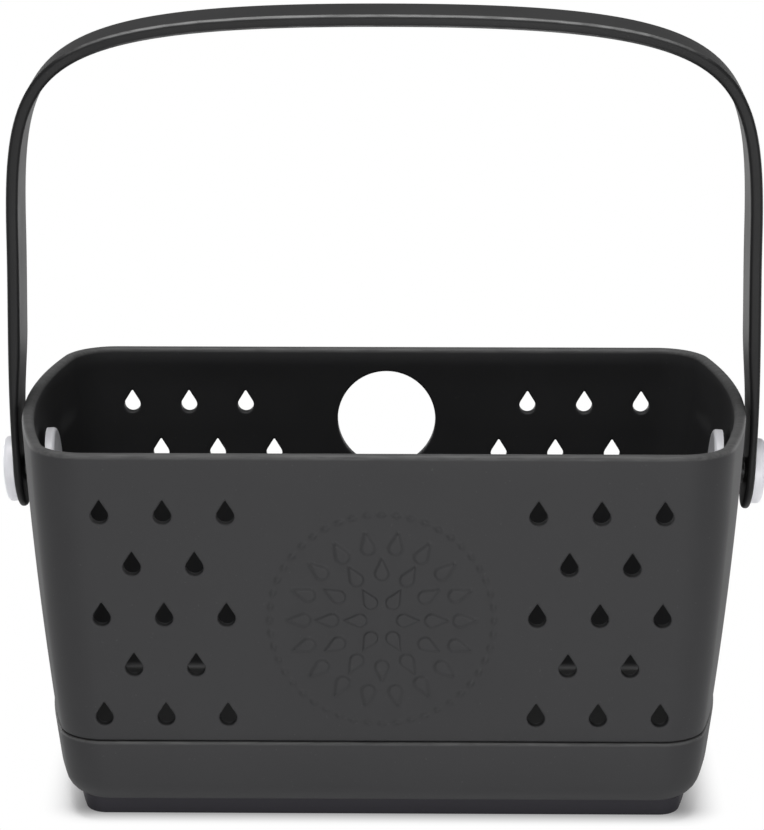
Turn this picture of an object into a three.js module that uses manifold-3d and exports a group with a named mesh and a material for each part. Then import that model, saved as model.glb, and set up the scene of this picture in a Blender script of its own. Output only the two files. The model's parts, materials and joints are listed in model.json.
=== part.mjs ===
// Bath caddy moulded in closed-cell foam: a tapered open basket with drop-shaped holes in its front
// and back walls and curved end walls, a proud cup round its base, a darker sole, and a strap handle
// that swings on two snap rivets.
// Millimetres, +Z up. The origin is on the ground under the middle of the basket, and the front faces -Y.
import * as THREE from 'three';
import { mergeVertices } from 'three/addons/utils/BufferGeometryUtils.js';
import Module from 'manifold-3d';

const wasm = await Module();
wasm.setup();

// Basket shell
const RIM_WIDTH = 307; // across the middles of the curved end walls
const RIM_DEPTH = 184;
const RIM_HEIGHT = 163;
const RIM_CORNER_RADIUS = 24;
const BASE_CORNER_RADIUS = 18;
const END_RADIUS = 302; // the end walls curve out with this radius, seen from above
const RIM_ROUNDING = 2;
const WALL = 5;
const END_TAPER = 16.6; // each end wall leans in by this much from the rim to the ground
const FRONT_TAPER = 13.5; // the front and back walls lean in by this much
const WALL_BOW = 1.9; // each wall swells out by this much at mid height
const FLOOR = 4.5;
const FLOOR_FILLET = 3;
const SHELL_BOTTOM_CHAMFER = 2;

// Base cup and sole
const SEAM_HEIGHT = 37.5;
const CUP_WALL = 2.6;
const CUP_FLOOR = 2.6;
const CUP_PROUD = 0.7;
const CUP_EDGE_BREAK = 0.5;
const CUP_BOTTOM_FILLET = 5;
const FOOT_HEIGHT = 8;
const SOLE_INSET = 9.2;
const SOLE_EDGE_ROUNDING = 1.2;
const DRAIN_RADIUS = 4.5;
const DRAIN_PITCH_X = 56;
const DRAIN_PITCH_Y = 52;
const DRAIN_COLUMNS = 4;
const DRAIN_ROWS = 2;

// Drop-shaped holes and the round grip hole in the back wall
const DROP_WIDTH = 7.2;
const DROP_HEIGHT = 10.4;
const DROP_TOP_ROW = 24.4; // from the rim down to the middle of the first row
const DROP_ROW_PITCH = 22.2;
const DROP_ROW_MARGIN = 9; // least height of a row's middle above the seam
const DROP_COLUMN_PITCH = 25.6;
const DROP_INNER_COLUMN = 63.6; // from the middle of the wall to the inner column of a full row
const DROP_COLUMNS = 3;
const GRIP_HOLE_RADIUS = 22;
const GRIP_HOLE_DROP = 32.5; // from the rim down to the middle of the hole

// Strap handle
const HANDLE_HEIGHT = 330.2;
const HANDLE_HALF_WIDTH = 158.2;
const SHOULDER_START = 235; // height where a leg, upright by then, starts to turn into the crossbar
const SHOULDER_RISE = 77.6; // length of the shoulder curve's upright handle
const SHOULDER_REACH = 149.5; // length of the shoulder curve's level handle
const STRAP_WIDTH = 33;
const STRAP_THICKNESS = 5.2;
const STRAP_EDGE_ROUNDING = 1.6;
const ROUNDING_LIMIT = 0.45; // share of a thin side that an edge's rounding may take
const STRAP_END_FLAT = 0.1; // share of the round end's quarter turn that stays flat
const EYE_THICKNESS = 3.4;
const EYE_FADE_START = 20; // from the rivet up the leg, where the thin eye starts to thicken
const EYE_FADE_LENGTH = 40;
const STRAP_STAND_OFF = 2.6; // from the wall to the inner face of the eye
const SWING = THREE.MathUtils.degToRad(125); // the strap swings this far to the front and to the back

// Snap rivets
const PIVOT_DROP = 31; // from the rim down to the rivets
const POST_RADIUS = 3.6;
const POST_TIP_TAPER = 0.9;
const SLEEVE_RADIUS = 5.6;
const HEAD_RADIUS = 14;
const HEAD_HEIGHT = 4.4;
const HEAD_ROUNDING = 2.2;
const CAP_RADIUS = 16.5;
const CAP_HEIGHT = 4;
const CAP_ROUNDING = 1.6;
const CAP_SKIN = 1.3; // left over the end of the cap's blind socket

// Clearances
const FIT_GAP = 0.3;
const RUNNING_GAP = 0.3;

// Facets
const CORNER_STEPS = 6;
const END_STEPS = 3;
const WALL_STEPS = 5;
const ARC_STEPS = 3;
const DROP_ARC_STEPS = 7;
const HOLE_SIDES = 16;
const GRIP_HOLE_SIDES = 40;
const LATHE_SIDES = 24;
const STRAP_END_STEPS = 6;
const LEG_STEPS = 8;
const SHOULDER_STEPS = 16;
const CUT_MARGIN = 2; // how far a cutter runs past the faces it cuts
const WELD_DISTANCE = 1e-4; // points closer than this are one point

const QUARTER_TURN = Math.PI / 2;

function steps(count) {
  return Array.from({ length: count + 1 }, (_, i) => i / count);
}

function between(low, high, share) {
  return low + (high - low) * share;
}

// Outer outline at a height: straight front and back, curved ends, and corners tangent to both
function outlineAt(z) {
  const rise = z / RIM_HEIGHT;
  const swell = 4 * WALL_BOW * rise * (1 - rise);
  const halfX = RIM_WIDTH / 2 - END_TAPER * (1 - rise) + swell;
  const halfY = RIM_DEPTH / 2 - FRONT_TAPER * (1 - rise) + swell;
  const radius = between(BASE_CORNER_RADIUS, RIM_CORNER_RADIUS, rise);
  const cornerY = halfY - radius;
  const endX = halfX - END_RADIUS;
  const cornerX = endX + Math.sqrt((END_RADIUS - radius) ** 2 - cornerY ** 2);
  const endSweep = Math.asin(cornerY / (END_RADIUS - radius));
  return { halfX, halfY, radius, cornerX, cornerY, endX, endSweep };
}

function endLean(z) {
  const rise = z / RIM_HEIGHT;
  return (END_TAPER + 4 * WALL_BOW * (1 - 2 * rise)) / RIM_HEIGHT;
}

const SOLE_TOP = FOOT_HEIGHT - FIT_GAP;
const CUP_FLOOR_TOP = FOOT_HEIGHT + CUP_FLOOR;
const SHELL_BOTTOM = CUP_FLOOR_TOP + FIT_GAP;
const FLOOR_TOP = SHELL_BOTTOM + FLOOR;
const CUP_TOP = SEAM_HEIGHT - FIT_GAP;
const PIVOT_HEIGHT = RIM_HEIGHT - PIVOT_DROP;
const PIVOT_LEAN = endLean(PIVOT_HEIGHT);
const PIVOT_TILT = Math.atan(PIVOT_LEAN);
const PIVOT_HALF_SPAN = outlineAt(PIVOT_HEIGHT).halfX - WALL / 2;

// Room that a disc on the leaning rivet needs to the leaning wall while the handle swings
function swingRoom(radius) {
  return RUNNING_GAP + 2 * radius * PIVOT_LEAN * Math.sin(SWING / 2);
}

// Stations along a rivet, from the middle of the wall outwards
const EYE_INSIDE = WALL / 2 + STRAP_STAND_OFF;
const EYE_OUTSIDE = EYE_INSIDE + EYE_THICKNESS;
const HEAD_SEAT = EYE_OUTSIDE + FIT_GAP;
const SLEEVE_END = EYE_INSIDE - FIT_GAP;
const END_HOLLOW = CAP_RADIUS ** 2 / (2 * END_RADIUS); // the curved end wall comes in so far at a cap's edge
const CAP_SEAT = -WALL / 2 - swingRoom(CAP_RADIUS) - END_HOLLOW;
const CAP_FACE = CAP_SEAT - CAP_HEIGHT;
const SOCKET_END = CAP_FACE + CAP_SKIN;
const POST_END = SOCKET_END + FIT_GAP;
const WALL_HOLE_RADIUS = SLEEVE_RADIUS + swingRoom(WALL);

// Solids and cuts
function solidFrom(geometry) {
  const bare = geometry.clone();
  bare.deleteAttribute('normal');
  bare.deleteAttribute('uv');
  const merged = mergeVertices(bare, WELD_DISTANCE);
  const corners = [];
  for (let i = 0; i < merged.index.count; i += 3) {
    const [a, b, c] = [merged.index.getX(i), merged.index.getX(i + 1), merged.index.getX(i + 2)];
    if (a !== b && b !== c && c !== a) corners.push(a, b, c);
  }
  const vertProperties = new Float32Array(merged.attributes.position.array);
  const triVerts = new Uint32Array(corners);
  return new wasm.Manifold(new wasm.Mesh({ numProp: 3, vertProperties, triVerts }));
}

function geometryFrom(solid) {
  const mesh = solid.getMesh();
  const geometry = new THREE.BufferGeometry();
  geometry.setAttribute('position', new THREE.BufferAttribute(new Float32Array(mesh.vertProperties), 3));
  geometry.setIndex(new THREE.BufferAttribute(new Uint32Array(mesh.triVerts), 1));
  geometry.computeVertexNormals();
  return geometry;
}

function cut(geometry, cutters) {
  const tools = cutters.map(solidFrom).reduce((joined, tool) => joined.add(tool));
  return geometryFrom(solidFrom(geometry).subtract(tools));
}

// One closed body through rings of points, each turning right-handed about the way from ring to ring
function loft(rings) {
  const count = rings[0].length;
  const positions = rings.flat().flatMap((point) => [point.x, point.y, point.z]);
  const middles = [rings[0], rings[rings.length - 1]].map((ring) => {
    const sum = ring.reduce((total, point) => total.add(point), new THREE.Vector3());
    return sum.divideScalar(count);
  });
  middles.forEach((middle) => positions.push(middle.x, middle.y, middle.z));
  const firstMiddle = rings.length * count;
  const lastMiddle = firstMiddle + 1;
  const lastRing = (rings.length - 1) * count;
  const triangles = [];
  for (let j = 0; j < count; j += 1) {
    const next = (j + 1) % count;
    for (let i = 0; i < rings.length - 1; i += 1) {
      const low = i * count;
      const high = low + count;
      triangles.push(low + j, low + next, high + next, low + j, high + next, high + j);
    }
    triangles.push(firstMiddle, next, j, lastMiddle, lastRing + j, lastRing + next);
  }
  const geometry = new THREE.BufferGeometry();
  geometry.setAttribute('position', new THREE.BufferAttribute(new Float32Array(positions), 3));
  geometry.setIndex(triangles);
  return geometry;
}

// The outline at a height, drawn in by a depth: a quarter of it, mirrored about both axes
function basketRing([depth, z]) {
  const { radius, cornerX, cornerY, endX, endSweep } = outlineAt(z);
  const end = steps(END_STEPS).slice(0, -1).map((share) => {
    const angle = share * endSweep;
    return [endX + (END_RADIUS - depth) * Math.cos(angle), (END_RADIUS - depth) * Math.sin(angle)];
  });
  const corner = steps(CORNER_STEPS).map((share) => {
    const angle = between(endSweep, QUARTER_TURN, share);
    return [cornerX + (radius - depth) * Math.cos(angle), cornerY + (radius - depth) * Math.sin(angle)];
  });
  const quarter = [...end, ...corner];
  const back = quarter.slice(1).toReversed();
  const outline = [
    ...quarter,
    ...back.map(([x, y]) => [-x, y]),
    ...quarter.map(([x, y]) => [-x, -y]),
    ...back.map(([x, y]) => [x, -y]),
  ];
  return outline.map(([x, y]) => new THREE.Vector3(x, y, z));
}

// Sections are pairs of depth under the outer outline and height.
// The shell: up the outside from the stepped-in base, over the rim and down to the floor
function shellProfile() {
  const baseDepth = CUP_WALL + FIT_GAP - CUP_PROUD;
  const wallTop = RIM_HEIGHT - RIM_ROUNDING;
  const filletTop = FLOOR_TOP + FLOOR_FILLET;
  const base = [
    [baseDepth + SHELL_BOTTOM_CHAMFER, SHELL_BOTTOM],
    [baseDepth, SHELL_BOTTOM + SHELL_BOTTOM_CHAMFER],
    [baseDepth, SEAM_HEIGHT],
  ];
  const outside = steps(WALL_STEPS).map((share) => [0, between(SEAM_HEIGHT, wallTop, share)]);
  const rimArc = steps(ARC_STEPS).map((share) => {
    const angle = share * QUARTER_TURN;
    return [RIM_ROUNDING * (1 - Math.cos(angle)), wallTop + RIM_ROUNDING * Math.sin(angle)];
  });
  const rimIn = rimArc.toReversed().map(([depth, z]) => [WALL - depth, z]);
  const inside = steps(WALL_STEPS).slice(1).map((share) => [WALL, between(wallTop, filletTop, share)]);
  const fillet = steps(ARC_STEPS).slice(1).map((share) => {
    const angle = share * QUARTER_TURN;
    return [WALL + FLOOR_FILLET * (1 - Math.cos(angle)), filletTop - FLOOR_FILLET * Math.sin(angle)];
  });
  return [...base, ...outside, ...rimArc.slice(1), ...rimIn, ...inside, ...fillet];
}

// A bottom edge rounded from under the piece to its side
function bottomEdge(side, ground, rounding) {
  return steps(ARC_STEPS).map((share) => {
    const angle = share * QUARTER_TURN;
    return [side + rounding * (1 - Math.sin(angle)), ground + rounding * (1 - Math.cos(angle))];
  });
}

// The base cup: under its rounded bottom edge, up to the seam and back down to its floor
function cupProfile() {
  const inside = CUP_WALL - CUP_PROUD;
  return [
    ...bottomEdge(-CUP_PROUD, FOOT_HEIGHT, CUP_BOTTOM_FILLET),
    [-CUP_PROUD, CUP_TOP - CUP_EDGE_BREAK],
    [CUP_EDGE_BREAK - CUP_PROUD, CUP_TOP],
    [inside, CUP_TOP],
    [inside, CUP_FLOOR_TOP],
  ];
}

function soleProfile() {
  return [...bottomEdge(SOLE_INSET, 0, SOLE_EDGE_ROUNDING), [SOLE_INSET, SOLE_TOP]];
}

// A drop with its point up: an arc and the two tangents from its ends to the point
function dropCutter(x, z, side) {
  const radius = DROP_WIDTH / 2;
  const tip = DROP_HEIGHT - radius;
  const spread = Math.acos(radius / tip);
  const outline = new THREE.Shape();
  outline.absarc(0, 0, radius, QUARTER_TURN + spread, 5 * QUARTER_TURN - spread, false);
  outline.lineTo(0, tip);
  outline.closePath();
  const depth = WALL + RIM_CORNER_RADIUS / 2;
  const settings = { depth, bevelEnabled: false, curveSegments: DROP_ARC_STEPS };
  const drop = new THREE.ExtrudeGeometry(outline, settings);
  const outerFace = outlineAt(z + DROP_HEIGHT).halfY + CUT_MARGIN;
  drop.rotateX(QUARTER_TURN);
  drop.translate(x, side > 0 ? outerFace : depth - outerFace, z + radius - DROP_HEIGHT / 2);
  return drop;
}

// Full rows alternate with rows moved by half a pitch: the front's short rows lose a column,
// and the back's gain one nearer the middle
function dropCutters(side) {
  const topRow = RIM_HEIGHT - DROP_TOP_ROW;
  const rows = Math.floor((topRow - SEAM_HEIGHT - DROP_ROW_MARGIN) / DROP_ROW_PITCH) + 1;
  const cutters = [];
  for (let row = 0; row < rows; row += 1) {
    const shifted = row % 2 === 1;
    const shift = shifted ? Math.sign(-side) * DROP_COLUMN_PITCH / 2 : 0;
    const columns = shifted && side < 0 ? DROP_COLUMNS - 1 : DROP_COLUMNS;
    for (let column = 0; column < columns; column += 1) {
      const x = DROP_INNER_COLUMN + shift + column * DROP_COLUMN_PITCH;
      const z = topRow - row * DROP_ROW_PITCH;
      cutters.push(dropCutter(x, z, side), dropCutter(-x, z, side));
    }
  }
  return cutters;
}

function gripHoleCutter() {
  const depth = WALL + FRONT_TAPER + CUT_MARGIN;
  const hole = new THREE.CylinderGeometry(GRIP_HOLE_RADIUS, GRIP_HOLE_RADIUS, depth, GRIP_HOLE_SIDES);
  hole.translate(0, RIM_DEPTH / 2 + CUT_MARGIN - depth / 2, RIM_HEIGHT - GRIP_HOLE_DROP);
  return hole;
}

function drainCutters() {
  const cutters = [];
  for (let row = 0; row < DRAIN_ROWS; row += 1) {
    for (let column = 0; column < DRAIN_COLUMNS; column += 1) {
      const depth = FLOOR_TOP + 2 * CUT_MARGIN;
      const drain = new THREE.CylinderGeometry(DRAIN_RADIUS, DRAIN_RADIUS, depth, HOLE_SIDES);
      drain.rotateX(QUARTER_TURN);
      const x = (column - (DRAIN_COLUMNS - 1) / 2) * DRAIN_PITCH_X;
      const y = (row - (DRAIN_ROWS - 1) / 2) * DRAIN_PITCH_Y;
      drain.translate(x, y, FLOOR_TOP / 2);
      cutters.push(drain);
    }
  }
  return cutters;
}

// Rivet axes: square to the leaning end walls, so each head faces out and a little down
function rivetTurn(side) {
  return side > 0 ? PIVOT_TILT : Math.PI - PIVOT_TILT;
}

function alongRivet(geometry, side) {
  geometry.rotateY(rivetTurn(side));
  geometry.translate(side * PIVOT_HALF_SPAN, 0, PIVOT_HEIGHT);
  return geometry;
}

function rivetCutter(radius, from, to, side) {
  const pin = new THREE.CylinderGeometry(radius, radius, to - from, HOLE_SIDES);
  pin.rotateZ(QUARTER_TURN);
  pin.translate((from + to) / 2, 0, 0);
  return alongRivet(pin, side);
}

// Strap: stations from the end of one eye to the middle of the crossbar, mirrored for the other side
function strapStations() {
  const lean = new THREE.Vector2(Math.sin(PIVOT_TILT), Math.cos(PIVOT_TILT));
  const eye = new THREE.Vector2(
    PIVOT_HALF_SPAN + EYE_OUTSIDE * Math.cos(PIVOT_TILT),
    PIVOT_HEIGHT - EYE_OUTSIDE * Math.sin(PIVOT_TILT),
  );
  const radius = STRAP_WIDTH / 2;
  const stations = [];
  for (let step = 0; step < STRAP_END_STEPS; step += 1) {
    const angle = between(STRAP_END_FLAT, 1, step / STRAP_END_STEPS) * QUARTER_TURN;
    const point = eye.clone().addScaledVector(lean, -radius * Math.cos(angle));
    stations.push({ point, along: lean, width: STRAP_WIDTH * Math.sin(angle), thickness: EYE_THICKNESS });
  }
  const legTop = new THREE.Vector2(HANDLE_HALF_WIDTH, SHOULDER_START);
  const legHandle = (SHOULDER_START - PIVOT_HEIGHT) / 3; // a third each, for an even curve
  const leg = new THREE.CubicBezierCurve(
    eye,
    eye.clone().addScaledVector(lean, legHandle),
    new THREE.Vector2(HANDLE_HALF_WIDTH, SHOULDER_START - legHandle),
    legTop,
  );
  const shoulder = new THREE.CubicBezierCurve(
    legTop,
    new THREE.Vector2(HANDLE_HALF_WIDTH, SHOULDER_START + SHOULDER_RISE),
    new THREE.Vector2(SHOULDER_REACH, HANDLE_HEIGHT),
    new THREE.Vector2(0, HANDLE_HEIGHT),
  );
  const curveStations = (curve, shares) => shares.map((share) => {
    const point = curve.getPointAt(share);
    const fadeEnd = EYE_FADE_START + EYE_FADE_LENGTH;
    const fade = THREE.MathUtils.smoothstep(point.distanceTo(eye), EYE_FADE_START, fadeEnd);
    const thickness = between(EYE_THICKNESS, STRAP_THICKNESS, fade);
    return { point, along: curve.getTangentAt(share), width: STRAP_WIDTH, thickness };
  });
  stations.push(...curveStations(leg, steps(LEG_STEPS)));
  stations.push(...curveStations(shoulder, steps(SHOULDER_STEPS).slice(1)));
  return stations;
}

// Section of the strap, from its outer face inwards, with rounded edges
function strapRing({ point, along, width, thickness }, side) {
  const rounding = Math.min(STRAP_EDGE_ROUNDING, ROUNDING_LIMIT * Math.min(thickness, width));
  const points = [];
  for (let corner = 0; corner < 4; corner += 1) {
    const outer = corner === 0 || corner === 3;
    const sideY = corner < 2 ? 1 : -1;
    for (let step = 0; step <= ARC_STEPS; step += 1) {
      const angle = (corner + step / ARC_STEPS) * QUARTER_TURN;
      const depth = (outer ? -rounding : rounding - thickness) + rounding * Math.cos(angle);
      const x = side * (point.x + along.y * depth);
      const z = point.y - along.x * depth;
      points.push(new THREE.Vector3(x, sideY * (width / 2 - rounding) + rounding * Math.sin(angle), z));
    }
  }
  return points;
}

function strapGeometry() {
  const stations = strapStations();
  const right = stations.map((station) => strapRing(station, 1));
  const left = stations.slice(0, -1).toReversed().map((station) => strapRing(station, -1));
  return loft([...right, ...left]);
}

// Turned pieces of the snap rivet, as sections of radius against distance along the rivet
function turned(section) {
  const outline = section.map(([radius, along]) => new THREE.Vector2(radius, along));
  const geometry = new THREE.LatheGeometry(outline, LATHE_SIDES);
  geometry.rotateZ(-QUARTER_TURN);
  return geometryFrom(solidFrom(geometry));
}

function edgeArc(radius, face, rounding, outwards) {
  return steps(ARC_STEPS).map((share) => {
    const angle = share * QUARTER_TURN;
    return [radius - rounding * (1 - Math.cos(angle)), face - outwards * rounding * (1 - Math.sin(angle))];
  });
}

function rivetButton() {
  const face = HEAD_SEAT + HEAD_HEIGHT;
  return turned([
    [0, POST_END],
    [POST_RADIUS - POST_TIP_TAPER, POST_END],
    [POST_RADIUS, POST_END + POST_TIP_TAPER],
    [POST_RADIUS, HEAD_SEAT],
    [HEAD_RADIUS, HEAD_SEAT],
    ...edgeArc(HEAD_RADIUS, face, HEAD_ROUNDING, 1),
    [0, face],
  ]);
}

function rivetCap() {
  return turned([
    [0, CAP_FACE],
    ...edgeArc(CAP_RADIUS, CAP_FACE, CAP_ROUNDING, -1).toReversed(),
    [CAP_RADIUS, CAP_SEAT],
    [SLEEVE_RADIUS, CAP_SEAT],
    [SLEEVE_RADIUS, SLEEVE_END],
    [POST_RADIUS + FIT_GAP, SLEEVE_END],
    [POST_RADIUS + FIT_GAP, SOCKET_END],
    [0, SOCKET_END],
  ]);
}

// Assembly
const caddy = new THREE.Group();

function addPiece(name, geometry, finish, parent = caddy) {
  const material = new THREE.MeshStandardMaterial(finish);
  const mesh = new THREE.Mesh(geometry, material);
  mesh.name = name;
  parent.add(mesh);
  return mesh;
}

const FOAM = { color: 0x444446, roughness: 0.72, metalness: 0 };
const SOLE_FOAM = { color: 0x34323a, roughness: 0.85, metalness: 0 };
const RIVET_PLASTIC = { color: 0xe6e6eb, roughness: 0.4, metalness: 0 };

function basketShell() {
  const reach = WALL / 2 + CUT_MARGIN;
  const rivetHoles = [1, -1].map((side) => rivetCutter(WALL_HOLE_RADIUS, -reach, reach, side));
  const drops = [...dropCutters(-1), ...dropCutters(1)];
  const shell = loft(shellProfile().map(basketRing));
  return cut(shell, [...drops, gripHoleCutter(), ...rivetHoles, ...drainCutters()]);
}

function handleStrap() {
  const eyeRadius = POST_RADIUS + FIT_GAP;
  const eyes = [1, -1].map((side) => rivetCutter(eyeRadius, WALL / 2, HEAD_SEAT + HEAD_HEIGHT, side));
  return cut(strapGeometry(), eyes);
}

addPiece('basket_shell', basketShell(), FOAM);
addPiece('base_cup', cut(loft(cupProfile().map(basketRing)), drainCutters()), FOAM);
addPiece('non_slip_sole', cut(loft(soleProfile().map(basketRing)), drainCutters()), SOLE_FOAM);
addPiece('handle_strap', handleStrap(), FOAM);

for (const [word, side] of [['right', 1], ['left', -1]]) {
  const rivet = new THREE.Group();
  rivet.position.set(side * PIVOT_HALF_SPAN, 0, PIVOT_HEIGHT);
  rivet.rotation.y = rivetTurn(side);
  caddy.add(rivet);
  addPiece(`rivet_button_${word}`, rivetButton(), RIVET_PLASTIC, rivet);
  addPiece(`rivet_cap_${word}`, rivetCap(), RIVET_PLASTIC, rivet);
}

export default caddy;
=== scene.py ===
# %% [markdown]
# A bath caddy in moulded foam
#
# The caddy is a tapered, open basket of charcoal foam. Drops are punched through its front and back
# walls, a proud band wraps its base, a darker foot carries it, and a strap swings over it on two white
# snap rivets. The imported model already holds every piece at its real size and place. So the lesson
# loads that model first, and then makes each piece's fine surface where the model says it is.

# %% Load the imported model
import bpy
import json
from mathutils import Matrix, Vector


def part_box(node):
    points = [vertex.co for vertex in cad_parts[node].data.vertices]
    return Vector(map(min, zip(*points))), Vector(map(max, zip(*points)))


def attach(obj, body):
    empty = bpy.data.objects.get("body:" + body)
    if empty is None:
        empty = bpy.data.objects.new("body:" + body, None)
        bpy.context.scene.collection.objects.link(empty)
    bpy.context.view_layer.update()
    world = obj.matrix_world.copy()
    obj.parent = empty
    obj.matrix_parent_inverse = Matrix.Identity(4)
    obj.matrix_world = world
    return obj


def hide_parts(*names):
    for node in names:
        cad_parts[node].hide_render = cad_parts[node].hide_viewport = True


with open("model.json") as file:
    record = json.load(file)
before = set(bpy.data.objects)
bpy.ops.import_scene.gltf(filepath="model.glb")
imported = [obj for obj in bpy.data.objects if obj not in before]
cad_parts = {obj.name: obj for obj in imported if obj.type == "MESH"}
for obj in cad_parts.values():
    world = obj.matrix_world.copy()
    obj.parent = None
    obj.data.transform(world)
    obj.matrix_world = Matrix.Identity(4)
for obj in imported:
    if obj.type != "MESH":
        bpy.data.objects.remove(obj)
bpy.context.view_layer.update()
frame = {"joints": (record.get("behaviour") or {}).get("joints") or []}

# %% Modules
import bisect
import functools
import json
import math

import bmesh
import bpy
from mathutils import Vector
from mathutils.geometry import delaunay_2d_cdt

scene = bpy.context.scene
print("Blender", bpy.app.version_string)

# %% [markdown]
# Camera
#
# The view is from the front, a metre and a half away and above the rim, through a long lens, and less
# than a degree from straight on. A camera could be aimed with a Track To constraint at the object.
# Here its place, turns and lens are set as numbers, because they were measured together from the rim,
# the rows of drops and the back hole, and moving one without the others would bend the perspective.

# %% Camera
CAMERA_PLACE = (0.0177, -1.530, 0.566)
CAMERA_PITCH = math.radians(15.02)
CAMERA_YAW = math.radians(0.70)
FOCAL_PIXELS = 3703
FRAME_PIXELS = 830
SENSOR_MM = 36

camera_data = bpy.data.cameras.new("studio_camera")
camera_data.sensor_width = SENSOR_MM
camera_data.lens = FOCAL_PIXELS * SENSOR_MM / FRAME_PIXELS
camera = bpy.data.objects.new("studio_camera", camera_data)
camera.location = CAMERA_PLACE
camera.rotation_euler = (math.pi / 2 - CAMERA_PITCH, 0, CAMERA_YAW)
scene.collection.objects.link(camera)
scene.camera = camera
scene.view_settings.view_transform = "Standard"
print("lens", round(camera_data.lens, 1), "mm")

# %% [markdown]
# Shader sums
#
# A material is a graph of nodes, and graphs get long when every plus and minus is a node made by hand.
# A small class that wraps a socket lets Python's own operators add the Math nodes. Any other node
# comes from one method that takes its type, its settings and its inputs.


# %% A socket that takes part in sums
class Signal:
    """A node's output that can stand in a Python sum."""

    def __init__(self, graph, socket):
        self.graph = graph
        self.socket = socket

    def sum(self, operation, first, second):
        return self.graph.node("ShaderNodeMath", {"operation": operation}, {0: first, 1: second})

    def __add__(self, other):
        return self.sum("ADD", self, other)

    def __radd__(self, other):
        return self.sum("ADD", other, self)

    def __sub__(self, other):
        return self.sum("SUBTRACT", self, other)

    def __rsub__(self, other):
        return self.sum("SUBTRACT", other, self)

    def __mul__(self, other):
        return self.sum("MULTIPLY", self, other)

    def __rmul__(self, other):
        return self.sum("MULTIPLY", other, self)


# %% A graph that makes nodes
class Graph:
    """The node tree of a material or of the world."""

    def __init__(self, owner):
        owner.use_nodes = True
        self.tree = owner.node_tree
        self.tree.nodes.clear()

    def node(self, kind, settings=None, inputs=None, output=0):
        made = self.tree.nodes.new(kind)
        for name, value in (settings or {}).items():
            setattr(made, name, value)
        for name, value in (inputs or {}).items():
            if isinstance(value, Signal):
                self.tree.links.new(value.socket, made.inputs[name])
            else:
                made.inputs[name].default_value = value
        if made.outputs:
            return Signal(self, made.outputs[output])


print("shader helpers ready")

# %% [markdown]
# Floor and world
#
# The caddy stands on a seamless white sweep. Near the foot the floor is plain white paint, so the soft
# shadow there is a real one. Further off a lamp could never light it evenly, so the paint gives way to
# a steady white glow for the rays that are seen. The change is measured from a box a little smaller
# than the foot. Rays that only carry light always meet paint, or the glow would light the walls a
# second time. The room above the sweep is white to the eye and dimmer in reflections, as a studio is.

# %% Floor and world
FLOOR_HALF = 6
FLOOR_WHITE = (0.84, 0.84, 0.85, 1)
SHADOW_LIFT = 0.16
PAINT_HALF = (0.122, 0.06, 0)
PAINT_REACH = 0.002
GLOW_START = 0.024
WORLD_LIGHT = 0.13
WORLD_SHEEN = 0.32
WHITE = (1, 1, 1, 1)


def any_ray(graph, *names):
    """1 for the named kinds of ray, and 0 for the rays that only carry light."""
    kinds = [graph.node("ShaderNodeLightPath", output=f"Is {name} Ray") for name in names]
    return graph.node("ShaderNodeClamp", {}, {"Value": sum(kinds)})


def floor_finish():
    material = bpy.data.materials.new("white_sweep")
    graph = Graph(material)
    spot = graph.node("ShaderNodeNewGeometry", output="Position")
    spot = graph.node("ShaderNodeVectorMath", {"operation": "ABSOLUTE"}, {0: spot})
    spot = graph.node("ShaderNodeVectorMath", {"operation": "SUBTRACT"}, {0: spot, 1: PAINT_HALF})
    spot = graph.node("ShaderNodeVectorMath", {"operation": "MAXIMUM"}, {0: spot, 1: (0, 0, 0)})
    gap = graph.node("ShaderNodeVectorMath", {"operation": "LENGTH"}, {0: spot}, "Value")
    far = graph.node("ShaderNodeMapRange", {"interpolation_type": "SMOOTHSTEP"}, {
        "Value": gap, "From Min": PAINT_REACH, "From Max": GLOW_START})
    paint = graph.node("ShaderNodeBsdfDiffuse", {}, {"Color": FLOOR_WHITE})
    lift = graph.node("ShaderNodeEmission", {}, {"Strength": SHADOW_LIFT})
    near = graph.node("ShaderNodeAddShader", {}, {0: paint, 1: lift})
    glow = graph.node("ShaderNodeEmission", {}, {"Strength": 1})
    shown = graph.node("ShaderNodeMixShader", {}, {0: far, 1: near, 2: glow})
    seen = any_ray(graph, "Camera", "Glossy", "Transmission")
    mix = graph.node("ShaderNodeMixShader", {}, {0: seen, 1: paint, 2: shown})
    graph.node("ShaderNodeOutputMaterial", {}, {"Surface": mix})
    return material


def white_world():
    world = bpy.data.worlds.new("white_studio")
    graph = Graph(world)
    seen = (1 - WORLD_LIGHT) * any_ray(graph, "Camera")
    mirrored = (WORLD_SHEEN - WORLD_LIGHT) * any_ray(graph, "Glossy", "Transmission")
    strength = WORLD_LIGHT + seen + mirrored
    light = graph.node("ShaderNodeBackground", {}, {"Color": WHITE, "Strength": strength})
    graph.node("ShaderNodeOutputWorld", {}, {"Surface": light})
    return world


floor_mesh = bpy.data.meshes.new("sweep_floor")
floor_signs = [(-1, -1), (1, -1), (1, 1), (-1, 1)]
floor_corners = [(x * FLOOR_HALF, y * FLOOR_HALF, 0) for x, y in floor_signs]
floor_mesh.from_pydata(floor_corners, [], [(0, 1, 2, 3)])
floor_mesh.materials.append(floor_finish())
floor = bpy.data.objects.new("sweep_floor", floor_mesh)
scene.collection.objects.link(floor)
scene.world = white_world()
print("floor", 2 * FLOOR_HALF, "m wide, world light", WORLD_LIGHT)

# %% [markdown]
# Lamps
#
# The front wall is evenly lit while the inside stays nearly black, so the front lamp must stand low:
# light that comes in level with the rim never reaches the inside of the back wall. Two weaker lamps as
# low as that light the ends and the back. A wide soft lamp overhead lights the floor, the rim and the
# strap. It hangs a little to the left, so the shadow reaches further on the right of the foot.

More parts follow.
